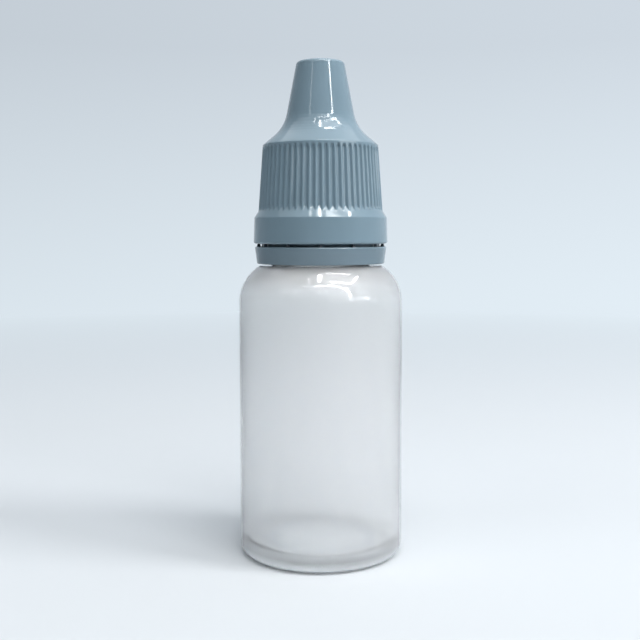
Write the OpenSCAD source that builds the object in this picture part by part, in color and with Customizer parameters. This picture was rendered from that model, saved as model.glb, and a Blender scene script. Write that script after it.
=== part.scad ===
// Eye drop bottle of about 10 ml: a blow-moulded squeeze bottle, a dropper insert pressed
// into its neck, a ribbed screw cap and the tamper ring that the cap leaves on the neck.
// +Z is up, and the origin is the centre of the ring that the bottle stands on.

/* [Bottle body] */
// Outside diameter of the body
body_d = 22.5; // [21:0.1:28]
// Height of the straight side, from the table to where the shoulder starts
side_h = 34.9; // [20:0.05:60]
// Wall thickness of the body
body_wall = 0.9; // [0.6:0.05:1.3]
// Outside radius of the rounded shoulder
shoulder_r = 5.8; // [4.6:0.1:6.6]
// Thickness of the shoulder beside the neck
shoulder_floor = 0.95; // [0.7:0.05:1.4]
// Outside radius of the rounded edge at the foot
foot_r = 1.55; // [0.8:0.05:2.4]
// Width of the flat ring that the bottle stands on
foot_w = 0.8; // [0.5:0.05:1.4]
// Height of the hollow under the base
push_up = 0.7; // [0.4:0.05:1.2]
// Width of the sloping edge of that hollow
push_up_slope = 0.8; // [0.4:0.05:1.6]
// Thickness of the base
base_wall = 1; // [0.7:0.05:1.5]
// Inside radius of the corner between base and wall
base_corner_r = 1.6; // [0.8:0.05:2.4]

/* [Grip bars under the base] */
// Number of short raised bars round the base
bar_count = 24; // [12:1:32]
// Length of a bar, towards the centre
bar_l = 1.3; // [0.8:0.1:2]
// Width of a bar
bar_w = 0.45; // [0.3:0.05:0.7]
// Height that a bar stands down from the base
bar_h = 0.15; // [0.1:0.05:0.3]
// Distance from the edge of the flat base to a bar
bar_inset = 0.5; // [0.3:0.1:1.5]

/* [Neck] */
// Outside diameter of the neck between the threads
neck_d = 11.5; // [10.5:0.1:12.5]
// Wall thickness of the neck between the threads
neck_wall = 1.45; // [1.1:0.05:1.8]
// Height of the neck, from the ledge at its foot to its mouth
neck_h = 14.05; // [13.4:0.05:17]
// How far the thick foot of the neck stands out from the threaded part
neck_foot_out = 0.9; // [0.6:0.05:1.1]
// Height of that thick foot above the locking bead
neck_foot_h = 0.6; // [0.2:0.05:1]
// How far the locking bead stands out from the thick foot
bead_out = 1.4; // [1.2:0.05:1.6]
// Height of the upright edge of the locking bead
bead_edge_h = 0.35; // [0.2:0.05:0.5]
// Height of the sloping top of the locking bead
bead_slope_h = 0.9; // [0.6:0.05:1.2]
// How far the ledge at the foot of the neck stays behind the tamper ring
ledge_inset = 0.35; // [0.1:0.05:0.6]
// Radius of the rounded edge between the bore and the shoulder, inside
bore_foot_r = 0.6; // [0.3:0.05:1]

/* [Screw thread] */
// Climb of the thread in one turn
thread_pitch = 2.5; // [2.2:0.05:3]
// Turns of the thread on the neck
neck_thread_turns = 1.75; // [1.25:0.25:2]
// Turns of the thread inside the cap
cap_thread_turns = 1.5; // [1:0.25:1.75]
// Height of the thread ridge on the neck and in the cap
thread_depth = 0.75; // [0.5:0.05:0.85]
// Width of the ridge at its crest
thread_crest_w = 0.6; // [0.4:0.05:0.7]
// Slope of the ridge's flanks, in degrees
thread_flank = 30; // [20:1:35]
// Radial gap between a crest and the wall that it faces
thread_clearance = 0.25; // [0.15:0.05:0.35]
// Gap along the axis between the flanks that meet when the cap is tight
flank_clearance = 0.12; // [0.05:0.01:0.15]
// Distance from the mouth of the neck to the centre of the thread's last turn
thread_below_mouth = 2.1; // [1.6:0.1:2.4]

/* [Dropper insert] */
// Thickness of the flange that lies on the mouth of the neck
flange_t = 1.2; // [0.8:0.05:1.6]
// How far the flange stays behind the outside of the neck
flange_inset = 0.15; // [0.05:0.05:0.4]
// Length of the skirt inside the neck
skirt_l = 3.8; // [3.2:0.1:5]
// Wall thickness of the skirt
skirt_wall = 1; // [0.7:0.05:1.2]
// Gap between the skirt and the bore of the neck
skirt_clearance = 0.1; // [0.05:0.01:0.2]
// Number of sealing ribs round the skirt
seal_count = 3; // [2:1:4]
// Height of one sealing rib
seal_h = 0.5; // [0.3:0.05:0.6]
// How far a sealing rib presses into the neck
seal_grip = 0.02; // [0.01:0.01:0.04]
// Height of the nozzle above the flange
nozzle_h = 10.4; // [8:0.1:13]
// Diameter of the nozzle at the flange
nozzle_foot_d = 7.7; // [7:0.1:8.2]
// Diameter of the nozzle at its tip
nozzle_tip_d = 3.7; // [3.2:0.1:4.6]
// Radius of the rounded edge of the tip
nozzle_edge_r = 0.7; // [0.3:0.05:0.8]
// Wall thickness of the nozzle
nozzle_wall = 1; // [0.7:0.05:1.1]
// Thickness of the nozzle's end round the orifice
nozzle_end = 1.5; // [1:0.1:2.5]
// Diameter of the drop orifice
orifice_d = 1.2; // [0.9:0.05:1.4]

/* [Tamper ring] */
// Height of the ring
ring_h = 2.35; // [2.1:0.05:3]
// Wall thickness of the ring at its top
ring_wall = 0.86; // [0.75:0.01:1]
// How much narrower the ring is at its lower edge, on the radius
ring_taper = 0.3; // [0.1:0.01:0.4]
// Radial gap between the ring and the locking bead
ring_clearance = 0.2; // [0.15:0.05:0.3]
// Gap along the axis above the ledge and below the locking bead
ring_play = 0.25; // [0.15:0.05:0.3]
// How far the snap bead inside the ring reaches under the locking bead
snap_reach = 0.6; // [0.4:0.05:0.8]
// Height of the snap bead
snap_h = 0.8; // [0.6:0.05:1]
// Height of the slit between the ring and the cap
slit_h = 0.4; // [0.3:0.05:0.6]
// Number of breakable bridges across the slit
bridge_count = 12; // [6:1:16]
// Diameter of a bridge where it stands on the ring
bridge_foot_d = 0.6; // [0.4:0.05:0.7]
// Diameter of a bridge where it tears off the cap
bridge_tear_d = 0.36; // [0.2:0.02:0.4]
// Gap at the tear, under the cap
bridge_gap = 0.02; // [0.01:0.01:0.05]

/* [Cap] */
// Wall thickness of the plain band at its lower edge
band_wall = 1.01; // [0.8:0.01:1.3]
// How much narrower the band is at its top, on the radius
band_taper = 0.11; // [0:0.01:0.2]
// Height of the band
band_h = 3.55; // [3.3:0.05:4.2]
// Depth of the wide mouth inside the band
band_pocket_h = 3; // [2.7:0.05:3.2]
// Slope of the bevel above the band, in degrees from upright
bevel_angle = 25.5; // [20:0.5:40]
// Wall thickness behind the grooves at the top of the grip
grip_wall = 0.87; // [0.7:0.01:1.1]
// How much wider the grip is at its foot than at its top, on the radius
grip_flare = 0.7; // [0.4:0.05:0.9]
// Number of grip ribs round the cap
rib_count = 60; // [36:1:64]
// Radius of a half-round grip rib
rib_r = 0.3; // [0.2:0.01:0.34]
// Gap between the insert's flange and the inside of the cap
head_clearance = 0.5; // [0.3:0.05:0.8]
// Height from that inside face to the edge of the shoulder, outside
shoulder_wall = 1; // [0.8:0.05:1.4]
// Height of the sloping shoulder, from its edge to the foot of the spout
shoulder_rise = 2.2; // [1.8:0.05:2.8]
// Radius of the hollow blend between shoulder and spout
spout_blend_r = 5.3; // [3:0.1:5.5]
// Gap between the nozzle and the inside of the spout, on the radius
spout_gap = 0.75; // [0.4:0.05:0.9]
// Wall thickness of the spout
spout_wall = 1.1; // [0.8:0.05:1.3]
// Radius of the rounded edge at the top and at the shoulder
cap_edge_r = 0.55; // [0.3:0.05:0.7]
// Gap between the nozzle's tip and the inside of the cap's top
tip_gap = 0.95; // [0.5:0.05:1.5]
// Thickness of the cap's top
cap_top_wall = 1.3; // [0.9:0.05:1.8]
// How far the sealing pin reaches into the orifice
pin_reach = 0.8; // [0.5:0.05:1]
// Gap between the sealing pin and the orifice, on the radius
pin_clearance = 0.12; // [0.08:0.01:0.2]

/* [Hidden] */

// Fineness: degrees in one step of a rounded edge, and steps in one turn of the thread
arc_step = 7.5;
thread_steps = 48;
$fn = 96;
// How far cutters run past a face, and how deep a ridge is rooted in its wall
past = 1;
rooted = 0.2;

// Radii of the neck, from the bore outwards
neck_r = neck_d / 2;
bore_r = neck_r - neck_wall;
neck_foot_r = neck_r + neck_foot_out;
bead_r = neck_foot_r + bead_out;
ring_in_r = bead_r + ring_clearance;
ring_top_r = ring_in_r + ring_wall;
ring_low_r = ring_top_r - ring_taper;
ledge_r = ring_low_r - ledge_inset;

// Radii and heights of the body
body_r = body_d / 2;
body_in_r = body_r - body_wall;
foot_out_r = body_r - foot_r;
foot_in_r = foot_out_r - foot_w;
base_flat_r = foot_in_r - push_up_slope;
base_top = push_up + base_wall;
shoulder_centre = [body_r - shoulder_r, side_h];
ledge_angle = acos((ledge_r - shoulder_centre[0]) / shoulder_r);
ledge_z = side_h + shoulder_r * sin(ledge_angle);
shoulder_in_r = ledge_z - shoulder_floor - side_h;
mouth_z = ledge_z + neck_h;

// Heights of the ring, the locking bead and the cap's lower edge
ring_z = ledge_z + ring_play;
snap_top = ring_z + snap_h;
bead_z = snap_top + ring_play;
bead_top = bead_z + bead_edge_h + bead_slope_h;
ring_top = ring_z + ring_h;
cap_z = ring_top + slit_h;

// Heights of the insert
flange_top = mouth_z + flange_t;
tip_z = flange_top + nozzle_h;
skirt_r = bore_r - skirt_clearance;
skirt_in_r = skirt_r - skirt_wall;
nozzle_foot_r = nozzle_foot_d / 2;
nozzle_tip_r = nozzle_tip_d / 2;
orifice_r = orifice_d / 2;

// The screw thread: the cap's ridge lies just under the neck's
neck_crest_r = neck_r + thread_depth;
cap_bore_r = neck_crest_r + thread_clearance;
cap_crest_r = cap_bore_r - thread_depth;
crest_half = thread_crest_w / 2;
crests_overlap = neck_crest_r - cap_crest_r;
thread_drop = 2 * crest_half + crests_overlap * tan(thread_flank) + flank_clearance;
neck_thread_z = mouth_z - thread_below_mouth - neck_thread_turns * thread_pitch;

// Heights and radii of the cap
band_top_r = ring_in_r + band_wall - band_taper;
band_top = cap_z + band_h;
pocket_top = cap_z + band_pocket_h;
ceiling_z = flange_top + head_clearance;
shoulder_edge_z = ceiling_z + shoulder_wall;
spout_foot_z = shoulder_edge_z + shoulder_rise;
spout_in_top = tip_z + tip_gap;
cap_top = spout_in_top + cap_top_wall;
groove_top_r = cap_bore_r + grip_wall;
grip_slope = grip_flare / (shoulder_edge_z - band_top);
bevel_slope = tan(bevel_angle);
// Where the bevel above the band meets the floor of the grooves
bevel_top = (band_top_r - groove_top_r + bevel_slope * band_top - grip_slope * shoulder_edge_z)
    / (bevel_slope - grip_slope);
cap_thread_z = pocket_top + thread_pitch / 2;

// Radius of the nozzle's cone and of the spout's outside at height z
function nozzle_at(z) = nozzle_foot_r
    + (nozzle_tip_r - nozzle_foot_r) * (z - flange_top) / nozzle_h;
function spout_at(z) = nozzle_at(z) + spout_gap + spout_wall;
// Radius at the floor of the grip's grooves at height z
function groove_at(z) = groove_top_r + grip_slope * (shoulder_edge_z - z);

// Points on an arc round centre c, from angle a0 to angle a1
function arc(c, r, a0, a1) =
    let (n = ceil(abs(a1 - a0) / arc_step))
    [for (i = [0 : n]) let (a = a0 + (a1 - a0) * i / n) c + r * [cos(a), sin(a)]];

function unit(v) = v / norm(v);

// Corner b of an outline between its neighbours a and c, rounded where b has a third value
function corner(a, b, c) =
    is_undef(b[2]) ? [b] :
    let (p = [b[0], b[1]], r = b[2],
         u = unit([a[0], a[1]] - p), v = unit([c[0], c[1]] - p),
         half = acos(u * v) / 2, m = p + unit(u + v) * r / sin(half),
         s = p + u * r / tan(half) - m, e = p + v * r / tan(half) - m,
         from = atan2(s[1], s[0]), turn = atan2(cross(s, e), s * e))
    arc(m, r, from, from + turn);

function rounded(pts) =
    let (n = len(pts))
    [for (i = [0 : n - 1]) each corner(pts[(i + n - 1) % n], pts[i], pts[(i + 1) % n])];

// A solid of revolution from an outline of [radius, height] points
module turned(pts) {
    rotate_extrude() polygon(rounded(pts));
}

// One helical ridge of triangles, climbing anticlockwise from height 0. It stands from the
// wall at wall_r to crest_r, is rooted in the wall, and sinks into it at both ends.
module thread_ridge(wall_r, crest_r, turns) {
    steps = round(turns * thread_steps);
    fade = thread_steps / 12;
    out = sign(crest_r - wall_r);
    root_r = wall_r - out * rooted;
    hidden_r = wall_r - out * rooted / 2;
    root_half = crest_half + (thread_depth + rooted) * tan(thread_flank);
    points = [for (i = [0 : steps])
        let (a = i * 360 / thread_steps, z = i * thread_pitch / thread_steps,
             shown = min(1, min(i, steps - i) / fade),
             r = hidden_r + (crest_r - hidden_r) * shown)
        for (q = [[root_r, -root_half], [r, -crest_half], [r, crest_half], [root_r, root_half]])
            [q[0] * cos(a), q[0] * sin(a), z + out * q[1]]];
    sides = [for (i = [0 : steps - 1], k = [0 : 3])
        let (p = 4 * i + k, q = 4 * i + (k + 1) % 4)
        each [[p, q, q + 4], [p, q + 4, p + 4]]];
    last = 4 * steps;
    ends = [[3, 2, 1], [3, 1, 0], [last, last + 1, last + 2], [last, last + 2, last + 3]];
    polyhedron(points, concat(sides, ends));
}

// The bottle
module bottle() color([0.88, 0.91, 0.92, 0.75]) {
    difference() {
        union() {
            turned(concat(
                [[0, push_up], [base_flat_r, push_up], [foot_in_r, 0], [foot_out_r, 0]],
                arc([foot_out_r, foot_r], foot_r, -90, 0),
                arc(shoulder_centre, shoulder_r, 0, ledge_angle),
                [[neck_foot_r, ledge_z], [neck_foot_r, bead_z], [bead_r, bead_z],
                 [bead_r, bead_z + bead_edge_h], [neck_foot_r, bead_top],
                 [neck_foot_r, bead_top + neck_foot_h],
                 [neck_r, bead_top + neck_foot_h + neck_foot_out],
                 [neck_r, mouth_z], [0, mouth_z]]));
            translate([0, 0, neck_thread_z])
                thread_ridge(neck_r, neck_crest_r, neck_thread_turns);
            base_bars();
        }
        bottle_inside();
    }
}

// The space inside the bottle, from the base through the bore of the neck
module bottle_inside() {
    shoulder_in_top = side_h + shoulder_in_r;
    turned([
        [0, base_top], [body_in_r, base_top, base_corner_r],
        [body_in_r, shoulder_in_top, shoulder_in_r],
        [bore_r, shoulder_in_top, bore_foot_r],
        [bore_r, mouth_z + past], [0, mouth_z + past]]);
}

// Short raised bars round the hollow of the base, higher than the standing ring
module base_bars() {
    for (i = [0 : bar_count - 1])
        rotate([0, 0, i * 360 / bar_count])
            translate([base_flat_r - bar_inset - bar_l, -bar_w / 2, push_up - bar_h])
                cube([bar_l, bar_w, bar_h + base_wall / 2]);
}

// The dropper insert: flange, sealing skirt and hollow nozzle
module dropper_insert() color([0.93, 0.95, 0.96]) {
    flange_r = neck_r - flange_inset;
    seal_step = skirt_l / (seal_count + 1);
    difference() {
        union() {
            turned([
                [0, mouth_z - skirt_l], [skirt_r, mouth_z - skirt_l, 0.3],
                [skirt_r, mouth_z], [flange_r, mouth_z], [flange_r, flange_top, 0.3],
                [nozzle_foot_r, flange_top, 0.5],
                [nozzle_tip_r, tip_z, nozzle_edge_r], [0, tip_z]]);
            for (i = [1 : seal_count])
                translate([0, 0, mouth_z - i * seal_step])
                    turned([
                        [skirt_r - rooted, -seal_h / 2], [skirt_r, -seal_h / 2],
                        [bore_r + seal_grip, -seal_h / 6], [bore_r + seal_grip, seal_h / 6],
                        [skirt_r, seal_h / 2], [skirt_r - rooted, seal_h / 2]]);
        }
        turned([
            [0, mouth_z - skirt_l - past], [skirt_in_r, mouth_z - skirt_l - past],
            [skirt_in_r, mouth_z + flange_t / 2],
            [nozzle_at(flange_top) - nozzle_wall, flange_top],
            [nozzle_at(tip_z - nozzle_end) - nozzle_wall, tip_z - nozzle_end],
            [orifice_r, tip_z - nozzle_end + 0.3], [orifice_r, tip_z + past],
            [0, tip_z + past]]);
    }
}

// The cap: ribbed grip, plain band, spout, inner thread and sealing pin
module cap() color([0.48, 0.56, 0.62]) {
    pin_r = orifice_r - pin_clearance;
    difference() {
        union() {
            turned([
                [0, cap_z], [band_top_r + band_taper, cap_z, 0.15],
                [band_top_r, band_top, 0.3],
                [groove_at(bevel_top), bevel_top],
                [groove_at(shoulder_edge_z), shoulder_edge_z, cap_edge_r],
                [spout_at(spout_foot_z), spout_foot_z, spout_blend_r],
                [spout_at(cap_top), cap_top, cap_edge_r], [0, cap_top]]);
            grip_ribs();
        }
        turned([
            [0, cap_z - past], [ring_in_r, cap_z - past], [ring_in_r, pocket_top],
            [cap_bore_r, pocket_top], [cap_bore_r, ceiling_z],
            [spout_at(spout_foot_z) - spout_wall, spout_foot_z],
            [spout_at(spout_in_top) - spout_wall, spout_in_top], [0, spout_in_top]]);
    }
    translate([0, 0, cap_thread_z])
        rotate([0, 0, (cap_thread_z - neck_thread_z + thread_drop) * 360 / thread_pitch])
            thread_ridge(cap_bore_r, cap_crest_r, cap_thread_turns);
    turned([
        [0, tip_z - pin_reach], [pin_r, tip_z - pin_reach, pin_r / 2],
        [pin_r, spout_in_top + rooted], [0, spout_in_top + rooted]]);
}

// Half-round ribs that lean with the grip and end in sloping tops under the shoulder. One
// solid holds them all, and between them it lies just under the floor of the grooves.
module grip_ribs() {
    // Points across one rib: sideways and outwards, as shares of the rib's radius
    section = [[-1, -0.3], [-0.7, 0.7], [0, 1], [0.7, 0.7], [1, -0.3]];
    // Heights along the ribs, and how far they stand out there as a share
    levels = [[band_top, 1], [shoulder_edge_z - 1.5 * rib_r, 1],
              [shoulder_edge_z - 0.5 * rib_r, 0.6]];
    around = rib_count * len(section);
    points = [for (level = levels, i = [0 : rib_count - 1], q = section)
        let (floor_r = groove_at(level[0]), r = floor_r + rib_r * q[1] * level[1],
             a = i * 360 / rib_count + asin(q[0] * rib_r / floor_r))
        [r * cos(a), r * sin(a), level[0]]];
    sides = [for (j = [0 : len(levels) - 2], i = [0 : around - 1])
        let (p = j * around + i, q = j * around + (i + 1) % around)
        each [[p, p + around, q + around], [p, q + around, q]]];
    low = len(points);
    last = low - around;
    ends = [for (i = [0 : around - 1])
        let (next = (i + 1) % around)
        each [[low, i, next], [low + 1, last + next, last + i]]];
    middles = [for (level = [levels[0], levels[2]]) [0, 0, level[0]]];
    polyhedron(concat(points, middles), concat(sides, ends));
}

// The tamper ring with the snap bead inside its lower edge
module tamper_ring() color([0.44, 0.51, 0.57]) {
    snap_r = bead_r - snap_reach;
    turned([
        [snap_r, ring_z, 0.2], [ring_low_r, ring_z, 0.15], [ring_top_r, ring_top, 0.15],
        [ring_in_r, ring_top], [ring_in_r, snap_top], [snap_r, snap_top]]);
}

// The breakable bridges that stand on the ring, each torn off just under the cap
module tamper_bridges() color([0.44, 0.51, 0.57]) {
    for (i = [0 : bridge_count - 1])
        rotate([0, 0, i * 360 / bridge_count])
            translate([ring_in_r + bridge_foot_d / 2, 0, ring_top])
                cylinder(h = slit_h - bridge_gap, d1 = bridge_foot_d, d2 = bridge_tear_d, $fn = 24);
}

bottle();
dropper_insert();
cap();
tamper_ring();
tamper_bridges();
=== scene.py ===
"""Eye drop bottle: the look of the closed bottle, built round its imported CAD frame."""

import math

import bpy
import numpy as np
from mathutils import Matrix, Vector


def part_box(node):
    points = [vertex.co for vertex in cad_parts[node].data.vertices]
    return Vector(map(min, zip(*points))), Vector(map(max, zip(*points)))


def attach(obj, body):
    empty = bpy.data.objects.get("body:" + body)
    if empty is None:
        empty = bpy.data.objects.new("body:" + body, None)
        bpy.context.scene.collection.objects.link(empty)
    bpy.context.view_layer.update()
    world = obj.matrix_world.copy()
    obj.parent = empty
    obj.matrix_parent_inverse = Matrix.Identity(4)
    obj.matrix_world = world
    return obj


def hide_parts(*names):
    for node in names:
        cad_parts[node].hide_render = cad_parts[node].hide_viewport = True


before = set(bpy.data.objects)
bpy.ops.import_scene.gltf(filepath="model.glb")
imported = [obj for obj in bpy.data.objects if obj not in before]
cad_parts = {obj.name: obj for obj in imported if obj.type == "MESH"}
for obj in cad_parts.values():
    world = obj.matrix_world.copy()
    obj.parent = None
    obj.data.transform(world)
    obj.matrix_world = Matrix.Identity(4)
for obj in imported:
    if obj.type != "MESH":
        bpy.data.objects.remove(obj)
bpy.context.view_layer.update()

MM = 0.001


def node_box(name):
    """Greatest radius, lowest and highest point of a CAD node, in millimetres."""
    low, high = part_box(name)
    return max(high.x, high.y, -low.x, -low.y) / MM, low.z / MM, high.z / MM


# Heights and radii that the frame gives, in millimetres
BODY_R, _, MOUTH_Z = node_box("bottle")
RING_TOP_R, RING_Z, RING_TOP = node_box("tamper_ring")
CAP_R, CAP_Z, CAP_TOP = node_box("cap")
FLANGE_R, SKIRT_Z, TIP_Z = node_box("dropper_insert")

# The bottle, in millimetres
SIDE_H = 34.9
BODY_WALL = 0.9
SHOULDER_R = 5.8
SHOULDER_FLOOR = 0.95
FOOT_R = 1.55
FOOT_W = 0.8
PUSH_UP = 0.7
PUSH_UP_SLOPE = 0.8
BASE_WALL = 1.0
BASE_CORNER_R = 1.6
BORE_FOOT_R = 0.6
BORE_REACH = 0.5
LEDGE_R = 8.46
LEDGE_LIP = 0.02
LEDGE_IN = 0.05
NECK_R = 5.75
NECK_WALL = 1.45
NECK_FOOT_OUT = 0.9
NECK_FOOT_H = 0.6
BEAD_OUT = 1.4
BEAD_EDGE_H = 0.35
BEAD_SLOPE_H = 0.9

# The raised grip bars under the base, which also show on its floor
BAR_COUNT = 24
BAR_L = 1.3
BAR_W = 0.45
BAR_H = 0.15
BAR_INSET = 0.5
BAR_EDGE = 0.06
BAR_MARGIN = 0.3
BAR_MARGIN_IN = 0.4

# The screw thread
THREAD_PITCH = 2.5
THREAD_DEPTH = 0.75
THREAD_CREST_W = 0.6
THREAD_FLANK = 30
THREAD_CLEARANCE = 0.25
FLANK_CLEARANCE = 0.12
THREAD_BELOW_MOUTH = 2.1
NECK_THREAD_TURNS = 1.75
CAP_THREAD_TURNS = 1.5

# The dropper insert
FLANGE_T = 1.2
SKIRT_CLEARANCE = 0.1
SKIRT_WALL = 1.0
SEAL_COUNT = 3
SEAL_H = 0.5
NOZZLE_FOOT_R = 3.85
NOZZLE_TIP_R = 1.85
NOZZLE_EDGE_R = 0.7
NOZZLE_BLEND_R = 0.5
NOZZLE_WALL = 1.0
NOZZLE_END = 1.5
NOZZLE_END_SLOPE = 0.3
ORIFICE_R = 0.6
ORIFICE_EDGE_R = 0.12

# The tamper ring, and the hidden rim that closes its slit from behind
RING_PLAY = 0.25
RING_CLEARANCE = 0.2
RING_TAPER = 0.3
SNAP_H = 0.8
SNAP_REACH = 0.6
SNAP_EDGE_H = 0.3
RIM_GAP = 0.1
RIM_WALL = 0.3
RIM_UP = 0.65
RIM_DOWN = 0.7
RIM_EDGE_R = 0.05

# The cap
BAND_H = 3.55
BAND_TAPER = 0.11
BAND_POCKET_H = 3.0
BEVEL_ANGLE = 32
GRIP_WALL = 0.87
GRIP_FLARE = 0.7
RIB_COUNT = 60
RIB_H = 0.3
RIB_PHASE = 1.8
SHOULDER_WALL = 1.0
SHOULDER_RISE = 2.2
HEAD_CLEARANCE = 0.5
SPOUT_BLEND_R = 5.3
SPOUT_GAP = 0.75
SPOUT_WALL = 1.1
CAP_EDGE_R = 0.55
LIP_EDGE_R = 0.55
LIP_FOOT = 0.28
LOW_EDGE_R = 0.28
POCKET_EDGE_R = 0.08
TIP_GAP = 0.95
PIN_REACH = 0.8
PIN_CLEARANCE = 0.12

# The grooves of the grip: shares of a rib's pitch, and heights
CREST_SHARE = 0.07
FLANK_SHARE = 0.42
ARCH_BELOW_LIP = 0.2
ARCH_DROP = 0.5
ARCH_FADE = 0.5
BEVEL_BLEND = 0.12
BEVEL_FOOT = 0.2
GRIP_FIRST_ROW = 0.3
GRIP_HIGH_H = 1.6
GRIP_HIGH_STEP = 0.09
GRIP_MIDDLE_ROWS = 10
GRIP_MIDDLE_GAP = 0.4
GRIP_LOW_Z = 49.1
GRIP_LOW_GAP = 0.2
GRIP_LOW_STEP = 0.075
BORE_ROWS = 76
BORE_GAP_LOW = 0.05
BORE_GAP_HIGH = 0.3

# Roundings of edges that have no size of their own
FINE_EDGE_R = 0.1
SMALL_EDGE_R = 0.15
SOFT_EDGE_R = 0.2
PUSH_UP_EDGE_R = 0.25
ROUND_EDGE_R = 0.3

# How finely meshes are made: degrees, millimetres, shares of a turn and counts of columns
ARC_STEP = 9.0
FINE_ARC_STEP = 6.0
INNER_ARC_STEP = 5.0
SHOULDER_ARC_STEP = 4.0
FOOT_ARC_STEP = 7.5
LEDGE_GAP = 1.2
LONGEST = 2.0
MARGIN = 0.08
SHARP_FROM = 40
TINY = 1e-6
CLOSING_GAP = 0.05
THREAD_FADE = 0.08
NECK_ROW_STEP = 0.12
NECK_FIRST_GAP = 0.1
MOUTH_GAP = 0.3
MOUTH_ROW_GAP = 0.28
COLUMNS = 180
FINE_COLUMNS = 720

# Values worked out from those above
BASE_FLAT_R = BODY_R - FOOT_R - FOOT_W - PUSH_UP_SLOPE
BAR_OUT_R = BASE_FLAT_R - BAR_INSET
BAR_IN_R = BAR_OUT_R - BAR_L
LEDGE_Z = RING_Z - RING_PLAY
BORE_R = NECK_R - NECK_WALL
NECK_FOOT_R = NECK_R + NECK_FOOT_OUT
BEAD_R = NECK_FOOT_R + BEAD_OUT
BEAD_Z = RING_Z + SNAP_H + RING_PLAY
BEAD_TOP = BEAD_Z + BEAD_EDGE_H + BEAD_SLOPE_H
RING_IN_R = BEAD_R + RING_CLEARANCE
NECK_CREST_R = NECK_R + THREAD_DEPTH
CAP_BORE_R = NECK_CREST_R + THREAD_CLEARANCE
CAP_CREST_R = CAP_BORE_R - THREAD_DEPTH
FLANGE_TOP = MOUTH_Z + FLANGE_T
BAND_TOP = CAP_Z + BAND_H
BAND_TOP_R = CAP_R - BAND_TAPER
POCKET_TOP = CAP_Z + BAND_POCKET_H
CEILING_Z = FLANGE_TOP + HEAD_CLEARANCE
SHOULDER_EDGE_Z = CEILING_Z + SHOULDER_WALL
SPOUT_FOOT_Z = SHOULDER_EDGE_Z + SHOULDER_RISE
SPOUT_IN_TOP = TIP_Z + TIP_GAP
GROOVE_TOP_R = CAP_BORE_R + GRIP_WALL
GRIP_SLOPE = GRIP_FLARE / (SHOULDER_EDGE_Z - BAND_TOP)
BEVEL_SLOPE = math.tan(math.radians(BEVEL_ANGLE))
NECK_THREAD_Z = MOUTH_Z - THREAD_BELOW_MOUTH - NECK_THREAD_TURNS * THREAD_PITCH
CAP_THREAD_Z = POCKET_TOP + THREAD_PITCH / 2
THREAD_DROP = (THREAD_CREST_W + FLANK_CLEARANCE
               + (NECK_CREST_R - CAP_CREST_R) * math.tan(math.radians(THREAD_FLANK)))

# The camera, fitted to the photograph: millimetres, degrees and pixels of a 640 px frame
CAM_DISTANCE = 132.0
CAM_HEIGHT = 44.6
CAM_PITCH = 3.073
CAM_YAW = 0.014
CAM_ROLL = -0.073
FRAME_PX = 640
FOCAL_PX = 952.2
SHIFT_X_PX = -0.86
SHIFT_Y_PX = -38.0
SENSOR_MM = 36.0
CLIP_START = 0.005


def make_camera():
    pitch, yaw, roll = (math.radians(a) for a in (CAM_PITCH, CAM_YAW, CAM_ROLL))
    forward = Vector((math.sin(yaw) * math.cos(pitch), math.cos(yaw) * math.cos(pitch),
                      -math.sin(pitch)))
    level = Vector((math.cos(yaw), -math.sin(yaw), 0))
    above = level.cross(forward)
    right = level * math.cos(roll) + above * math.sin(roll)
    up = above * math.cos(roll) - level * math.sin(roll)
    data = bpy.data.cameras.new("camera")
    data.sensor_width = SENSOR_MM
    data.lens = FOCAL_PX * SENSOR_MM / FRAME_PX
    data.shift_x = SHIFT_X_PX / FRAME_PX
    data.shift_y = SHIFT_Y_PX / FRAME_PX
    data.clip_start = CLIP_START
    camera = bpy.data.objects.new("camera", data)
    turn = Matrix((right, up, -forward)).transposed().to_4x4()
    camera.matrix_world = Matrix.Translation((0, -CAM_DISTANCE * MM, CAM_HEIGHT * MM)) @ turn
    bpy.context.scene.collection.objects.link(camera)
    bpy.context.scene.camera = camera


# Outlines: lists of (radius, height) points in millimetres

def arc(centre, radius, start, end, step=ARC_STEP):
    """Points on an arc round centre, from angle start to angle end, in degrees."""
    steps = max(1, math.ceil(abs(end - start) / step))
    angles = [math.radians(start + (end - start) * i / steps) for i in range(steps + 1)]
    return [(centre[0] + radius * math.cos(a), centre[1] + radius * math.sin(a)) for a in angles]


def round_corner(before, point, after, step):
    """The arc that rounds point by its third value, between its two neighbours."""
    corner = Vector(point[:2])
    to_before = (Vector(before[:2]) - corner).normalized()
    to_after = (Vector(after[:2]) - corner).normalized()
    half = to_before.angle(to_after) / 2
    radius = point[2]
    centre = corner + (to_before + to_after).normalized() * radius / math.sin(half)
    first = corner + to_before * radius / math.tan(half) - centre
    last = corner + to_after * radius / math.tan(half) - centre
    start = math.degrees(math.atan2(first.y, first.x))
    turn = math.degrees(math.atan2(first.x * last.y - first.y * last.x, first.dot(last)))
    return arc(centre, radius, start, start + turn, step)


def outline(points, step=ARC_STEP):
    """Rounds each corner that has a third value, and adds points along the long straight
    stretches and close to their ends, so that smooth shading stays true."""
    soft = []
    for i, point in enumerate(points):
        if len(point) == 2:
            soft.append(point)
        else:
            soft += round_corner(points[i - 1], point, points[i + 1], step)
    result = []
    for start, end in zip(soft, soft[1:]):
        result.append(start)
        length = math.dist(start, end)
        if length > 6 * MARGIN:
            inner = length - 2 * MARGIN
            parts = math.ceil(inner / LONGEST)
            shares = [(MARGIN + inner * i / parts) / length for i in range(parts + 1)]
            result += [(start[0] + (end[0] - start[0]) * s, start[1] + (end[1] - start[1]) * s)
                       for s in shares]
    return result + [soft[-1]]


def smooth_max(a, b, reach):
    """The greater of two values, blended where they differ by less than reach."""
    blend = np.maximum(reach - np.abs(a - b), 0) / reach
    return np.maximum(a, b) + blend * blend * reach / 4


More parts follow.
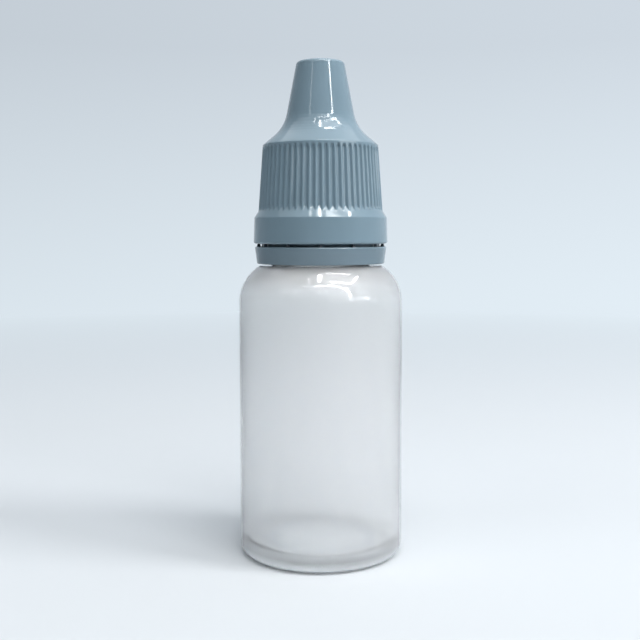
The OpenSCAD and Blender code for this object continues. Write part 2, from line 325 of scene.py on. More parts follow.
def smooth_step(value, low, high):
    """Runs softly from 0 at low to 1 at high."""
    t = np.clip((value - low) / (high - low), 0, 1)
    return t * t * (3 - 2 * t)


# Meshes

def revolve(name, rows, relief=None, closed=False):
    """A mesh object turned round the Z axis. A row is (radius, height, columns) in
    millimetres. Where two rows differ in columns, one count is a multiple of the other.
    relief(angle, radius, height) gives the radius and height that a point really has."""
    verts = []
    rings = []
    for radius, height, columns in rows:
        first = len(verts)
        if radius < TINY:
            verts.append((0, 0, height))
            rings.append([first])
            continue
        angle = np.arange(columns) * 2 * math.pi / columns
        r = np.full(columns, float(radius))
        z = np.full(columns, float(height))
        if relief:
            r, z = relief(angle, r, z)
        verts += zip(r * np.cos(angle), r * np.sin(angle), z)
        rings.append(list(range(first, first + columns)))
    faces = []
    pairs = list(zip(rings, rings[1:] + rings[:1]))
    for one, two in pairs if closed else pairs[:-1]:
        few, many = sorted((one, two), key=len)
        per = len(many) // len(few)
        for i in range(len(few) if len(few) > 1 else len(many)):
            if len(few) == 1:
                faces.append((few[0], many[i], many[(i + 1) % len(many)]))
                continue
            along = [many[(i * per + k) % len(many)] for k in range(per + 1)]
            faces.append((*along, few[(i + 1) % len(few)], few[i]))
    return add_mesh(name, np.array(verts) * MM, faces)


def add_mesh(name, verts, faces):
    """A mesh object with outward normals, smooth but for its sharp edges."""
    mesh = bpy.data.meshes.new(name)
    mesh.from_pydata([tuple(v) for v in verts], [], faces)
    piece = bpy.data.objects.new(name, mesh)
    bpy.context.scene.collection.objects.link(piece)
    bpy.context.view_layer.objects.active = piece
    bpy.ops.object.select_all(action="DESELECT")
    piece.select_set(True)
    bpy.ops.object.mode_set(mode="EDIT")
    bpy.ops.mesh.select_all(action="SELECT")
    bpy.ops.mesh.normals_make_consistent(inside=False)
    bpy.ops.object.mode_set(mode="OBJECT")
    mesh.shade_smooth()
    mesh.set_sharp_from_angle(angle=math.radians(SHARP_FROM))
    return piece


def with_columns(points, columns):
    return [(r, z, columns) for r, z in points]


def thread_height(angle, height, first_z, turns, start_angle=0.0):
    """How far a right-hand thread's ridge stands out, as a share of its depth."""
    flank_w = THREAD_DEPTH * math.tan(math.radians(THREAD_FLANK))
    half = THREAD_CREST_W / 2
    best = np.zeros_like(angle)
    for turn in range(-2, math.ceil(turns) + 2):
        travel = (angle - start_angle) / (2 * math.pi) + turn
        offset = np.abs(height - first_z - travel * THREAD_PITCH)
        ridge = 1 - smooth_step(offset, half, half + flank_w)
        start = smooth_step(travel, 0, THREAD_FADE)
        end = 1 - smooth_step(travel, turns - THREAD_FADE, turns)
        best = np.maximum(best, ridge * start * end)
    return best


# Node trees

# Places of the Mix node's colour sockets, whose names its other sockets share
MIX_A = 6
MIX_B = 7
MIX_RESULT = 2


def new_material(name, **values):
    """A material with a Principled shader, its plain values set on its own sockets."""
    material = bpy.data.materials.new(name)
    material.use_nodes = True
    shader = material.node_tree.nodes["Principled BSDF"]
    for socket, value in values.items():
        shader.inputs[socket.replace("_", " ")].default_value = value
    return material, material.node_tree, shader


def noise(tree, size_mm, detail, stretch=(1, 1, 1)):
    """Noise with features of about size_mm on the object, as a value output."""
    place = tree.nodes.new("ShaderNodeTexCoord")
    mapping = tree.nodes.new("ShaderNodeMapping")
    mapping.inputs["Scale"].default_value = [s / (size_mm * MM) for s in stretch]
    texture = tree.nodes.new("ShaderNodeTexNoise")
    texture.inputs["Scale"].default_value = 1.0
    texture.inputs["Detail"].default_value = detail
    tree.links.new(place.outputs["Object"], mapping.inputs["Vector"])
    tree.links.new(mapping.outputs["Vector"], texture.inputs["Vector"])
    return texture.outputs["Fac"]


def ranged(tree, value, low, high, out_low, out_high):
    """Maps low to high onto out_low to out_high, and holds it within them."""
    node = tree.nodes.new("ShaderNodeMapRange")
    for socket, number in (("From Min", low), ("From Max", high),
                           ("To Min", out_low), ("To Max", out_high)):
        node.inputs[socket].default_value = number
    tree.links.new(value, node.inputs["Value"])
    return node.outputs["Result"]


def math_node(tree, kind, first, second):
    """A sum, product or the like of two outputs or numbers."""
    node = tree.nodes.new("ShaderNodeMath")
    node.operation = kind
    for socket, value in zip(node.inputs, (first, second)):
        if isinstance(value, (int, float)):
            socket.default_value = value
        else:
            tree.links.new(value, socket)
    return node.outputs["Value"]


def between(tree, factor, colour_a, colour_b):
    """A colour that a factor leads from one plain colour to another."""
    node = tree.nodes.new("ShaderNodeMix")
    node.data_type = "RGBA"
    node.inputs[MIX_A].default_value = (*colour_a, 1)
    node.inputs[MIX_B].default_value = (*colour_b, 1)
    tree.links.new(factor, node.inputs["Factor"])
    return node.outputs[MIX_RESULT]


def over(tree, factor, colour, on_top):
    """A colour output, with a plain colour laid over it by a factor."""
    node = tree.nodes.new("ShaderNodeMix")
    node.data_type = "RGBA"
    node.inputs[MIX_B].default_value = (*on_top, 1)
    tree.links.new(colour, node.inputs[MIX_A])
    tree.links.new(factor, node.inputs["Factor"])
    return node.outputs[MIX_RESULT]


def distance_out(tree):
    """How far a point lies from the upright axis, in metres."""
    place = tree.nodes.new("ShaderNodeNewGeometry")
    level = tree.nodes.new("ShaderNodeVectorMath")
    level.operation = "MULTIPLY"
    level.inputs[1].default_value = (1, 1, 0)
    length = tree.nodes.new("ShaderNodeVectorMath")
    length.operation = "LENGTH"
    tree.links.new(place.outputs["Position"], level.inputs[0])
    tree.links.new(level.outputs["Vector"], length.inputs[0])
    return length.outputs["Value"]


def bumped(tree, value, depth_mm, before=None):
    """A normal that follows a value's hills, laid over an earlier normal."""
    node = tree.nodes.new("ShaderNodeBump")
    node.inputs["Strength"].default_value = 1.0
    node.inputs["Distance"].default_value = depth_mm * MM
    tree.links.new(value, node.inputs["Height"])
    if before:
        tree.links.new(before, node.inputs["Normal"])
    return node.outputs["Normal"]


# Between these the values of a noise mostly lie
CLOUD_RANGE = (0.35, 0.65)
GLOSS_RANGE = (0.3, 0.7)

# Moulded plastic: sizes and depths in millimetres
MOULDED_IOR = 1.49
FLOW_SIZE = 6
FLOW_STRETCH = (1, 1, 0.5)
GLOSS_SIZE = 1.5
GLOSS_LESS = 0.03
GLOSS_MORE = 0.04
SKIN_SIZE = 0.35
SKIN_DEPTH = 0.0004
WAVE_SIZE = 4
WAVE_DEPTH = 0.003

# Milky plastic: sizes and depths in millimetres
MILKY_IOR = 1.51
COAT = {"Coat_Weight": 0.5, "Coat_Roughness": 0.05, "Coat_IOR": 1.45}
HAZE_SCATTER_M = 0.001
HAZE_SIZE = 5
HAZE_STRETCH = (1, 1, 0.3)
MILKY_GLOSS_SIZE = 2
MILKY_GLOSS_LESS = 0.02
MILKY_GLOSS_MORE = 0.03
MILKY_SKIN_SIZE = 0.5
MILKY_SKIN_DEPTH = 0.003
MILKY_WAVE_SIZE = 5
MILKY_WAVE_DEPTH = 0.008

# The bottle's clear share: in its wall, its thick base, its thick shoulder and its bars
WALL_CLEAR = 0.81
FOOT_CLEAR = 0.66
SHOULDER_CLEAR = 0.74
BAR_CLEAR = 0.1
# Painted shade laid on the tops of the bars on the bottle's floor, which BAR_CLEAR makes nearly
# opaque
BAR_SHADE_COLOUR = (0.22, 0.31, 0.46)


def moulded_plastic(name, dark, light, roughness):
    """Opaque glossy plastic: faint flow clouds, a fine orange-peel skin, uneven gloss."""
    material, tree, shader = new_material(name, IOR=MOULDED_IOR)
    clouds = ranged(tree, noise(tree, FLOW_SIZE, 4, FLOW_STRETCH), *CLOUD_RANGE, 0, 1)
    tree.links.new(between(tree, clouds, dark, light), shader.inputs["Base Color"])
    gloss = ranged(tree, noise(tree, GLOSS_SIZE, 5), *GLOSS_RANGE,
                   roughness - GLOSS_LESS, roughness + GLOSS_MORE)
    tree.links.new(gloss, shader.inputs["Roughness"])
    skin = bumped(tree, noise(tree, SKIN_SIZE, 2), SKIN_DEPTH)
    waves = bumped(tree, noise(tree, WAVE_SIZE, 1), WAVE_DEPTH, skin)
    tree.links.new(waves, shader.inputs["Normal"])
    return material


def height_in(tree, low_mm, high_mm, out_low, out_high):
    """A value that runs from out_low to out_high between two heights on the object."""
    place = tree.nodes.new("ShaderNodeTexCoord")
    parts = tree.nodes.new("ShaderNodeSeparateXYZ")
    tree.links.new(place.outputs["Object"], parts.inputs["Vector"])
    return ranged(tree, parts.outputs["Z"], low_mm * MM, high_mm * MM, out_low, out_high)


def bar_shade_mask(tree):
    """1 where painted shade goes, on the tops of the bars on the floor of the bottle, and 0
    elsewhere.
    """
    floor = PUSH_UP + BASE_WALL
    above = height_in(tree, floor + BAR_H / 4, floor + BAR_H * 0.9, 0, 1)
    below = height_in(tree, floor + BAR_H, floor + BAR_H * 2, 1, 0)
    inner = ranged(tree, distance_out(tree), BAR_OUT_R * MM, BASE_FLAT_R * MM, 1, 0)
    return math_node(tree, "MULTIPLY", math_node(tree, "MULTIPLY", above, below), inner)


def bottle_clearness(tree, bar_shade):
    """The clear share over the bottle: least in its thick base, its shoulder and its bars."""
    foot = height_in(tree, PUSH_UP, PUSH_UP + BASE_WALL, FOOT_CLEAR, WALL_CLEAR)
    top = height_in(tree, SIDE_H + 1, LEDGE_Z - SHOULDER_FLOOR, WALL_CLEAR, SHOULDER_CLEAR)
    ends = math_node(tree, "MINIMUM", foot, top)
    return math_node(tree, "MINIMUM", ends, ranged(tree, bar_shade, 0, 1, 1, BAR_CLEAR))


def milky_plastic(name, dark, light, clear, roughness):
    """Translucent squeeze-bottle plastic: a clear share under a milky haze."""
    material, tree, shader = new_material(name, IOR=MILKY_IOR, Transmission_Weight=clear,
                                          Subsurface_Weight=1.0,
                                          Subsurface_Scale=HAZE_SCATTER_M,
                                          Subsurface_Radius=(1, 1, 1), **COAT)
    haze = ranged(tree, noise(tree, HAZE_SIZE, 4, HAZE_STRETCH), *CLOUD_RANGE, 0, 1)
    tree.links.new(between(tree, haze, dark, light), shader.inputs["Base Color"])
    gloss = ranged(tree, noise(tree, MILKY_GLOSS_SIZE, 5), *GLOSS_RANGE,
                   roughness - MILKY_GLOSS_LESS, roughness + MILKY_GLOSS_MORE)
    tree.links.new(gloss, shader.inputs["Roughness"])
    skin = bumped(tree, noise(tree, MILKY_SKIN_SIZE, 3), MILKY_SKIN_DEPTH)
    waves = bumped(tree, noise(tree, MILKY_WAVE_SIZE, 1), MILKY_WAVE_DEPTH, skin)
    tree.links.new(waves, shader.inputs["Normal"])
    return material


def bottle_plastic():
    """Milky plastic with the bottle's clearness, and painted blue-grey shade on the tops of the
    bars on its floor.
    """
    material = milky_plastic("bottle_plastic", (0.98, 0.985, 0.985), (0.99, 0.995, 0.995),
                             WALL_CLEAR, 0.1)
    tree = material.node_tree
    shader = tree.nodes["Principled BSDF"]
    colour = shader.inputs["Base Color"]
    bar_shade = bar_shade_mask(tree)
    # Painted blue-grey shade on the tops of the bars
    tree.links.new(over(tree, bar_shade, colour.links[0].from_socket, BAR_SHADE_COLOUR), colour)
    tree.links.new(bottle_clearness(tree, bar_shade), shader.inputs["Transmission Weight"])
    return material


CAP_PLASTIC = moulded_plastic("cap_plastic", (0.19, 0.275, 0.33), (0.207, 0.295, 0.355), 0.1)
# The ring's plastic is a darker copy of the cap's: painted shade for the cap's shadow over the
# ring
RING_SHADED_PLASTIC = moulded_plastic("ring_plastic", (0.165, 0.235, 0.28), (0.18, 0.25, 0.30), 0.2)
# The bridges' near-black colour is painted shade, for the shadow deep in the ring's slit
BRIDGE_PAINTED_SHADE = moulded_plastic("bridge_painted_shade", (0.05, 0.07, 0.085), (0.06, 0.08, 0.1), 0.3)
BOTTLE_PLASTIC = bottle_plastic()
INSERT_PLASTIC = milky_plastic("insert_plastic", (0.86, 0.88, 0.89), (0.92, 0.93, 0.94), 0.3, 0.25)


def finish_piece(piece, material, node, body):
    """Gives a piece its material, the CAD node that it replaces and its body."""
    piece.data.materials.clear()
    piece.data.materials.append(material)
    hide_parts(node)
    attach(piece, body)


# The bottle

def bar_rows(height):
    """Rows across the ring of bars, under the base or on its floor."""
    edges = [BAR_IN_R, BAR_OUT_R]
    steps = (-3, -1, -0.5, 0, 0.5, 1, 3)
    radii = [edge + step * BAR_EDGE for edge in edges for step in steps]
    return [(r, height, FINE_COLUMNS) for r in radii]


def bottle_relief(angle, radius, height):
    """The thread on the neck, and the bars under the base and on its floor."""
    on_neck = (height > BEAD_TOP + NECK_FOOT_H) & (radius > BORE_R + BORE_REACH)
    share = thread_height(angle, height, NECK_THREAD_Z, NECK_THREAD_TURNS)
    radius = radius + np.where(on_neck, THREAD_DEPTH * share, 0)
    on_base = radius < BASE_FLAT_R
    under = on_base & (np.abs(height - PUSH_UP) < TINY)
    on_floor = on_base & (np.abs(height - PUSH_UP - BASE_WALL) < TINY)
    pitch = 2 * math.pi / BAR_COUNT
    beside = np.abs((angle + pitch / 2) % pitch - pitch / 2) * radius
    across = 1 - smooth_step(beside, BAR_W / 2 - BAR_EDGE, BAR_W / 2 + BAR_EDGE)
    along = (smooth_step(radius, BAR_IN_R - BAR_EDGE, BAR_IN_R + BAR_EDGE)
             * (1 - smooth_step(radius, BAR_OUT_R - BAR_EDGE, BAR_OUT_R + BAR_EDGE)))
    rise = on_floor.astype(float) - under.astype(float)
    return radius, height + rise * BAR_H * across * along


def neck_rows():
    """Rows up the neck, close together for its thread."""
    low = BEAD_TOP + NECK_FOOT_H + NECK_FOOT_OUT
    high = MOUTH_Z - MOUTH_GAP
    first = low + NECK_FIRST_GAP
    count = round((high - low) / NECK_ROW_STEP)
    return [(NECK_R, first + (high - first) * i / count, COLUMNS) for i in range(count + 1)]


def make_bottle():
    foot_out = BODY_R - FOOT_R
    foot_in = foot_out - FOOT_W
    centre = (BODY_R - SHOULDER_R, SIDE_H)
    ledge_angle = math.degrees(math.acos((LEDGE_R - centre[0]) / SHOULDER_R))
    neck_foot_top = BEAD_TOP + NECK_FOOT_H
    floor_z = PUSH_UP + BASE_WALL
    inner_r = BODY_R - BODY_WALL
    inner_top = LEDGE_Z - SHOULDER_FLOOR
    base = outline([(0, PUSH_UP), (BAR_IN_R - BAR_MARGIN_IN, PUSH_UP)])
    foot = outline([
        (BAR_OUT_R + BAR_MARGIN, PUSH_UP), (BASE_FLAT_R, PUSH_UP, PUSH_UP_EDGE_R),
        (foot_in, 0, SOFT_EDGE_R), (foot_out, 0)])
    side = outline(
        arc((foot_out, FOOT_R), FOOT_R, -90, 0, FOOT_ARC_STEP)
        + arc(centre, SHOULDER_R, 0, ledge_angle - LEDGE_GAP, SHOULDER_ARC_STEP))
    neck = outline([
        (LEDGE_R + LEDGE_LIP, LEDGE_Z - LEDGE_LIP), (LEDGE_R - LEDGE_IN, LEDGE_Z),
        (NECK_FOOT_R, LEDGE_Z, SMALL_EDGE_R), (NECK_FOOT_R, BEAD_Z, FINE_EDGE_R),
        (BEAD_R, BEAD_Z, FINE_EDGE_R), (BEAD_R, BEAD_Z + BEAD_EDGE_H, SMALL_EDGE_R),
        (NECK_FOOT_R, BEAD_TOP, SOFT_EDGE_R), (NECK_FOOT_R, neck_foot_top, SOFT_EDGE_R),
        (NECK_R, neck_foot_top + NECK_FOOT_OUT)])
    inside = outline([
        (NECK_R, MOUTH_Z - MOUTH_ROW_GAP), (NECK_R, MOUTH_Z, SMALL_EDGE_R),
        (BORE_R, MOUTH_Z, SMALL_EDGE_R), (BORE_R, inner_top, BORE_FOOT_R),
        (inner_r, inner_top, inner_top - SIDE_H), (inner_r, floor_z, BASE_CORNER_R),
        (BAR_OUT_R + BAR_MARGIN, floor_z)], step=INNER_ARC_STEP)
    floor = outline([(BAR_IN_R - BAR_MARGIN_IN, floor_z), (0, floor_z)])
    rows = (with_columns(base, COLUMNS) + bar_rows(PUSH_UP)
            + with_columns(foot + side + neck, COLUMNS) + neck_rows()
            + with_columns(inside, COLUMNS) + bar_rows(floor_z)[::-1]
            + with_columns(floor, COLUMNS))
    piece = revolve("squeeze_bottle", rows, bottle_relief)
    finish_piece(piece, BOTTLE_PLASTIC, "bottle", "bottle")


# The dropper insert

def make_insert():
    skirt_r = BORE_R - SKIRT_CLEARANCE
    skirt_l = MOUTH_Z - SKIRT_Z
    slope = (NOZZLE_TIP_R - NOZZLE_FOOT_R) / (TIP_Z - FLANGE_TOP)
    end_in_r = NOZZLE_FOOT_R + slope * (TIP_Z - NOZZLE_END - FLANGE_TOP) - NOZZLE_WALL
    seals = []
    for i in range(SEAL_COUNT, 0, -1):
        z = MOUTH_Z - i * skirt_l / (SEAL_COUNT + 1)
        seals += [(skirt_r, z - SEAL_H / 2), (BORE_R, z, SEAL_H / 3), (skirt_r, z + SEAL_H / 2)]
    skirt_in = skirt_r - SKIRT_WALL
    end_z = TIP_Z - NOZZLE_END
    points = outline([
        (skirt_in, SKIRT_Z), (skirt_r, SKIRT_Z, ROUND_EDGE_R), *seals, (skirt_r, MOUTH_Z),
        (FLANGE_R, MOUTH_Z), (FLANGE_R, FLANGE_TOP, ROUND_EDGE_R),
        (NOZZLE_FOOT_R, FLANGE_TOP, NOZZLE_BLEND_R), (NOZZLE_TIP_R, TIP_Z, NOZZLE_EDGE_R),
        (ORIFICE_R, TIP_Z, ORIFICE_EDGE_R), (ORIFICE_R, end_z + NOZZLE_END_SLOPE),
        (end_in_r, end_z), (NOZZLE_FOOT_R - NOZZLE_WALL, FLANGE_TOP),
        (skirt_in, MOUTH_Z + FLANGE_T / 2), (skirt_in, SKIRT_Z + CLOSING_GAP)])
    piece = revolve("dropper_plug", with_columns(points, COLUMNS), closed=True)
    finish_piece(piece, INSERT_PLASTIC, "dropper_insert", "bottle")


# The tamper ring and its bridges

def make_ring():
    low_r = RING_TOP_R - RING_TAPER
    snap_r = BEAD_R - SNAP_REACH
    rim_r = RING_IN_R - RIM_GAP
    rim_in = rim_r - RIM_WALL
    rim_top = RING_TOP + RIM_UP
    rim_foot = RING_TOP - RIM_DOWN
    snap_low = RING_Z + SNAP_EDGE_H
    points = outline([
        (snap_r, snap_low), (snap_r, RING_Z, SOFT_EDGE_R), (low_r, RING_Z, SMALL_EDGE_R),
        (RING_TOP_R, RING_TOP, SOFT_EDGE_R), (rim_r, RING_TOP), (rim_r, rim_top, RIM_EDGE_R),
        (rim_in, rim_top, RIM_EDGE_R), (rim_in, rim_foot), (RING_IN_R, rim_foot - RIM_WALL),
        (RING_IN_R, RING_Z + SNAP_H), (snap_r, RING_Z + SNAP_H, RIM_EDGE_R),
        (snap_r, snap_low + CLOSING_GAP)])
    piece = revolve("tamper_band", with_columns(points, COLUMNS), closed=True)
    finish_piece(piece, RING_SHADED_PLASTIC, "tamper_ring", "tamper_ring")
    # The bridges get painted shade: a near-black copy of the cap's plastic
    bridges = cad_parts["tamper_bridges"]
    bridges.data.materials.clear()
    bridges.data.materials.append(BRIDGE_PAINTED_SHADE)


# The cap

def groove_at(z):
    """Radius of the grooves' floor at a height."""
    return GROOVE_TOP_R + GRIP_SLOPE * (SHOULDER_EDGE_Z - z)


def spout_at(z):
    """Outer radius of the spout at a height."""
    share = (z - FLANGE_TOP) / (TIP_Z - FLANGE_TOP)
    return NOZZLE_FOOT_R + (NOZZLE_TIP_R - NOZZLE_FOOT_R) * share + SPOUT_GAP + SPOUT_WALL


SHOULDER_SLOPE = (GROOVE_TOP_R - spout_at(SPOUT_FOOT_Z)) / SHOULDER_RISE
LIP_Z = SHOULDER_EDGE_Z - RIB_H / (SHOULDER_SLOPE - GRIP_SLOPE)
ARCH_Z = LIP_Z - ARCH_BELOW_LIP


def cap_relief(angle, radius, height):
    """The grip's grooves outside, and the thread inside."""
    turn = (angle - math.radians(270 + RIB_PHASE)) * RIB_COUNT / (2 * math.pi)
    beside = np.abs(turn - np.round(turn))
    in_grip = (height < LIP_Z) & (height > BAND_TOP + BEVEL_FOOT) & (radius > GROOVE_TOP_R)
    groove = smooth_step(beside, CREST_SHARE, FLANK_SHARE)
    top = ARCH_Z - ARCH_DROP * (1 - groove) ** 2
    depth = RIB_H * groove * (1 - smooth_step(height, top - ARCH_FADE, top))
    bevel = BAND_TOP_R - BEVEL_SLOPE * (height - BAND_TOP)
    grip = smooth_max(groove_at(height) + RIB_H - depth, bevel, BEVEL_BLEND)
    on_bore = (np.abs(radius - CAP_BORE_R) < TINY) & (height < CEILING_Z)
    start = (CAP_THREAD_Z - NECK_THREAD_Z + THREAD_DROP) * 2 * math.pi / THREAD_PITCH
    share = thread_height(angle, height, CAP_THREAD_Z, CAP_THREAD_TURNS, start % (2 * math.pi))
    radius = np.where(in_grip, grip, radius)
    return radius - np.where(on_bore, THREAD_DEPTH * share, 0), height


def grip_rows():
    """Rows down the grip, close together where the grooves start and end."""
    first = LIP_Z - GRIP_FIRST_ROW
    high = list(np.arange(first, first - GRIP_HIGH_H, -GRIP_HIGH_STEP))
    middle = list(np.linspace(high[-1] - GRIP_MIDDLE_GAP, GRIP_LOW_Z + GRIP_LOW_GAP,
                              GRIP_MIDDLE_ROWS))
    low = list(np.arange(GRIP_LOW_Z, BAND_TOP + BEVEL_FOOT, -GRIP_LOW_STEP))
    return [(groove_at(z) + RIB_H, z, FINE_COLUMNS) for z in high + middle + low]


def make_cap():
    crest = groove_at(LIP_Z) + RIB_H
    top = outline([
        (0, CAP_TOP), (spout_at(CAP_TOP), CAP_TOP, CAP_EDGE_R),
        (spout_at(SPOUT_FOOT_Z), SPOUT_FOOT_Z, SPOUT_BLEND_R), (crest, LIP_Z, LIP_EDGE_R),
        (crest + GRIP_SLOPE * LIP_FOOT, LIP_Z - LIP_FOOT)], step=FINE_ARC_STEP)
    band = outline([
        (BAND_TOP_R - BEVEL_SLOPE * BEVEL_FOOT, BAND_TOP + BEVEL_FOOT),
        (BAND_TOP_R, BAND_TOP, ROUND_EDGE_R), (CAP_R, CAP_Z, LOW_EDGE_R),
        (RING_IN_R, CAP_Z, POCKET_EDGE_R), (RING_IN_R, POCKET_TOP, SOFT_EDGE_R),
        (CAP_BORE_R, POCKET_TOP)], step=FINE_ARC_STEP)
    bore = [(CAP_BORE_R, z, COLUMNS)
            for z in np.linspace(POCKET_TOP + BORE_GAP_LOW, CEILING_Z - BORE_GAP_HIGH, BORE_ROWS)]
    spout_in = spout_at(SPOUT_FOOT_Z) - SPOUT_WALL
    spout_in_top = spout_at(SPOUT_IN_TOP) - SPOUT_WALL
    pin_r = ORIFICE_R - PIN_CLEARANCE
    pin_z = TIP_Z - PIN_REACH
    inside = outline([
        (CAP_BORE_R, CEILING_Z), (spout_in, SPOUT_FOOT_Z),
        (spout_in_top, SPOUT_IN_TOP, ROUND_EDGE_R), (pin_r, SPOUT_IN_TOP, SMALL_EDGE_R),
        (pin_r, pin_z, pin_r / 2), (0, pin_z)])
    rows = (with_columns(top, COLUMNS) + grip_rows() + with_columns(band, COLUMNS) + bore
            + with_columns(inside, COLUMNS))
    piece = revolve("screw_cap", rows, cap_relief)
    finish_piece(piece, CAP_PLASTIC, "cap", "cap")


# Stage and light

# Sizes in metres, and counts
STAGE_FLAT_R = 0.45
STAGE_CURVE_R = 0.25
STAGE_TOP = 1.2
STAGE_COLUMNS = 96
STAGE_FLAT_ROWS = 8

# The floor turns into the glowing sweep over these distances from the object
FLOOR_TO_R = 0.1
SWEEP_FROM_R = 0.4
SWEEP_H = 0.2

# The part of the stage that sheds light lies along this direction. Elsewhere its colour and
# glow are seen, but shed only the dark share.
LIT_SIDE = (0.3, 0.95, 0)
LIT_FROM = -0.2
LIT_TO = 0.5
LIT_FLOOR_R = 0.3
STAGE_DARK = 0.06

# The glow grows from the left to the right
GLOW_REACH = 0.3
GLOW_LEFT = 0.92
GLOW_RIGHT = 1.05

# The floor glows faintly under the bottle's foot, whose edge is given in millimetres
UNDER_GLOW = 0.75
UNDER_GLOW_EDGE = 1

UNLIT_COLOUR = (0.08, 0.08, 0.09)
FLOOR_COLOUR = (0.63, 0.66, 0.685)
SWEEP_LOW_COLOUR = (0.745, 0.83, 0.895)
SWEEP_HIGH_COLOUR = (0.60, 0.665, 0.73)


def position_along(tree, direction):
    """How far a point of the stage lies along a direction, in metres."""
    place = tree.nodes.new("ShaderNodeNewGeometry")
    dot = tree.nodes.new("ShaderNodeVectorMath")
    dot.operation = "DOT_PRODUCT"
    dot.inputs[1].default_value = direction
    tree.links.new(place.outputs["Position"], dot.inputs[0])
    return dot.outputs["Value"]


def stage_material():
    """Pale floor near the object, softly glowing sweep farther out. The sweep is seen pale
    all round, directly and through the bottle, but sheds its light mainly from the back and
    the right."""
    material, tree, shader = new_material("stage_white", Roughness=0.9, Specular_IOR_Level=0.1)
    path = tree.nodes.new("ShaderNodeLightPath")
    seen = math_node(tree, "MAXIMUM", path.outputs["Is Camera Ray"],
                     path.outputs["Is Transmission Ray"])
    out = distance_out(tree)
    side = position_along(tree, LIT_SIDE)
    lit = math_node(tree, "MAXIMUM", ranged(tree, out, FLOOR_TO_R, LIT_FLOOR_R, 1, 0),
                    ranged(tree, side, LIT_FROM, LIT_TO, STAGE_DARK, 1))
    share = math_node(tree, "MAXIMUM", seen, lit)
    floor = between(tree, share, UNLIT_COLOUR, FLOOR_COLOUR)
    tree.links.new(floor, shader.inputs["Base Color"])
    glow = tree.nodes.new("ShaderNodeEmission")
    height = ranged(tree, position_along(tree, (0, 0, 1)), 0.0, SWEEP_H, 0, 1)
    tree.links.new(between(tree, height, SWEEP_LOW_COLOUR, SWEEP_HIGH_COLOUR),
                   glow.inputs["Color"])
    across = ranged(tree, position_along(tree, (1, 0, 0)), -GLOW_REACH, GLOW_REACH,
                    GLOW_LEFT, GLOW_RIGHT)
    tree.links.new(math_node(tree, "MULTIPLY", share, across), glow.inputs["Strength"])
    mix = tree.nodes.new("ShaderNodeMixShader")
    foot_r = BODY_R - FOOT_R
    under = ranged(tree, out, (foot_r - UNDER_GLOW_EDGE) * MM, foot_r * MM, UNDER_GLOW, 0)
    far = ranged(tree, out, FLOOR_TO_R, SWEEP_FROM_R, 0, 1)
    tree.links.new(math_node(tree, "MAXIMUM", under, far), mix.inputs["Fac"])
    tree.links.new(shader.outputs["BSDF"], mix.inputs[1])
    tree.links.new(glow.outputs["Emission"], mix.inputs[2])
    tree.links.new(mix.outputs["Shader"], tree.nodes["Material Output"].inputs["Surface"])
    return material


def make_stage():
    """A round floor that sweeps up into a wall."""
    curve = arc((STAGE_FLAT_R, STAGE_CURVE_R), STAGE_CURVE_R, -90, 0, FINE_ARC_STEP)
    flat = [(STAGE_FLAT_R * i / STAGE_FLAT_ROWS, 0) for i in range(STAGE_FLAT_ROWS)]
    points = flat + curve + [(STAGE_FLAT_R + STAGE_CURVE_R, STAGE_TOP)]
    stage = revolve("stage", [(r / MM, z / MM, STAGE_COLUMNS) for r, z in points])
    stage.data.materials.append(stage_material())


# The point that the lamps face, and the heights over it of the strip lamps, in metres
AIM = Vector((0, 0, 0.04))
CEILING_H = 0.6
LINE_H = 0.3

# Radiances of the strip lamps
BRIGHT = 30
SOFT = 25
FAINT = 6

WORLD_COLOUR = (0.72, 0.8, 0.88, 1)
WORLD_STRENGTH = 0.5


def lamp(name, middle, along, size, radiance):
    """A flat lamp that faces the object. Radiance is that of its face, white being 1."""
    data = bpy.data.lights.new(name, "AREA")
    data.shape = "RECTANGLE"
    data.size, data.size_y = size
    data.energy = radiance * math.pi * size[0] * size[1]
    light = bpy.data.objects.new(name, data)
    back = (middle - AIM).normalized()
    side = (along - back * along.dot(back)).normalized()
    turn = Matrix((side, back.cross(side), back)).transposed().to_4x4()
    light.matrix_world = Matrix.Translation(middle) @ turn
    light.visible_camera = False
    bpy.context.scene.collection.objects.link(light)
    return light


def highlight_only(light):
    """Keeps a lamp from lighting or being seen through anything: only gloss shows it."""
    light.visible_diffuse = False
    light.visible_transmission = False


def soft_lamp(name, azimuth, elevation, distance, side, light_share):
    """A square lamp that makes no highlight. Its azimuth is 0 in front and 90 at the right.
    light_share is the brightness that it alone gives to a white card that faces it."""
    turn, rise = math.radians(azimuth), math.radians(elevation)
    way = Vector((math.sin(turn) * math.cos(rise), -math.cos(turn) * math.cos(rise),
                  math.sin(rise)))
    radiance = light_share * math.pi * distance ** 2 / side ** 2
    level = Vector((math.cos(turn), math.sin(turn), 0))
    light = lamp(name, AIM + way * distance, level, (side, side), radiance)
    light.visible_glossy = False


def strip(name, start, end, width, radiance, height=CEILING_H):
    """A strip lamp at a height over the aim, between two points given as shares of that
    height. It makes highlights only."""
    a, b = (Vector((p[0], p[1], 1)) * height + AIM for p in (start, end))
    light = lamp(name, (a + b) / 2, b - a, ((b - a).length, width * height), radiance)
    highlight_only(light)


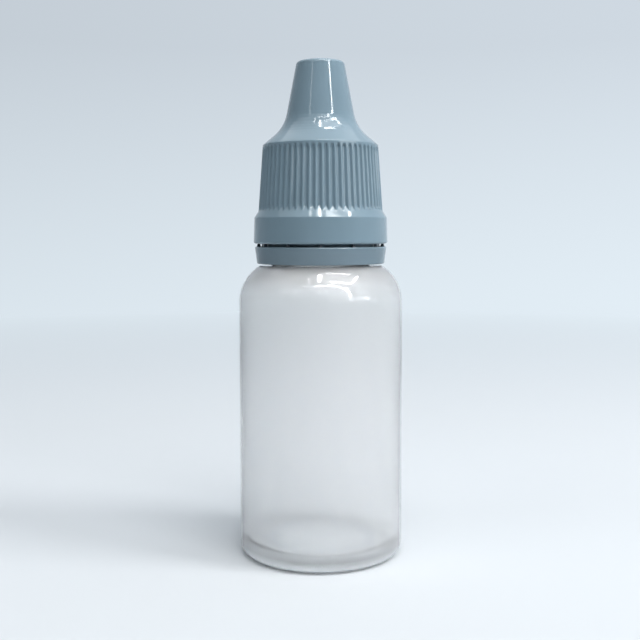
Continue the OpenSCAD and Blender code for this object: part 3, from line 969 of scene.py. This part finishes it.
def make_lights():
    strip("window_near", (0.144, -0.507), (0.687, -0.477), 0.04, BRIGHT)
    strip("window_bar", (0.13, -0.445), (0.68, -0.42), 0.02, SOFT)
    strip("window_right", (0.753, -0.428), (0.648, 0.11), 0.05, BRIGHT)
    strip("window_far", (0.079, 0.0), (0.453, 0.09), 0.03, BRIGHT)
    strip("window_left", (-0.025, -0.54), (-0.01, -0.07), 0.07, BRIGHT)
    strip("line_left", (-0.254, -0.622), (-0.23, -0.246), 0.02, SOFT)
    strip("hook_left", (-0.17, -0.84), (0.35, -0.79), 0.07, SOFT, LINE_H)
    strip("hook_right", (0.35, -0.79), (0.71, -0.93), 0.07, SOFT, LINE_H)
    strip("hook_end", (0.71, -0.93), (1.02, -1.08), 0.07, SOFT, LINE_H)
    strip("spout_line", (0.9, -0.95), (1.42, -1.5), 0.09, BRIGHT, LINE_H)
    strip("spout_faint", (-0.75, -0.93), (-1.15, -1.5), 0.06, FAINT, LINE_H)
    highlight_only(lamp("pane", Vector((0.36, -0.22, 1)) * CEILING_H + AIM,
                        Vector((1, 0, 0)), (0.4, 0.34), 2.2))
    soft_lamp("soft_right", 72, 42, 0.6, 0.18, 0.48)
    soft_lamp("soft_left", -60, 45, 0.6, 0.25, 0.11)
    soft_lamp("soft_front", 30, 30, 0.6, 0.35, 0.22)
    soft_lamp("soft_top", 20, 66, 0.8, 0.6, 0.75)
    highlight_only(lamp("ceiling", Vector((0, 0, 0.7)), Vector((1, 0, 0)), (1.4, 1.4), 0.8))
    highlight_only(lamp("low_card", Vector((0.44, -0.29, 0.16)), Vector((1, 1.5, 0)),
                        (0.34, 0.09), 4.0))
    world = bpy.data.worlds.new("world")
    world.use_nodes = True
    background = world.node_tree.nodes["Background"]
    background.inputs["Color"].default_value = WORLD_COLOUR
    background.inputs["Strength"].default_value = WORLD_STRENGTH
    bpy.context.scene.world = world


make_camera()
make_stage()
make_lights()
make_bottle()
make_insert()
make_ring()
make_cap()
bpy.context.scene.view_settings.view_transform = "Standard"
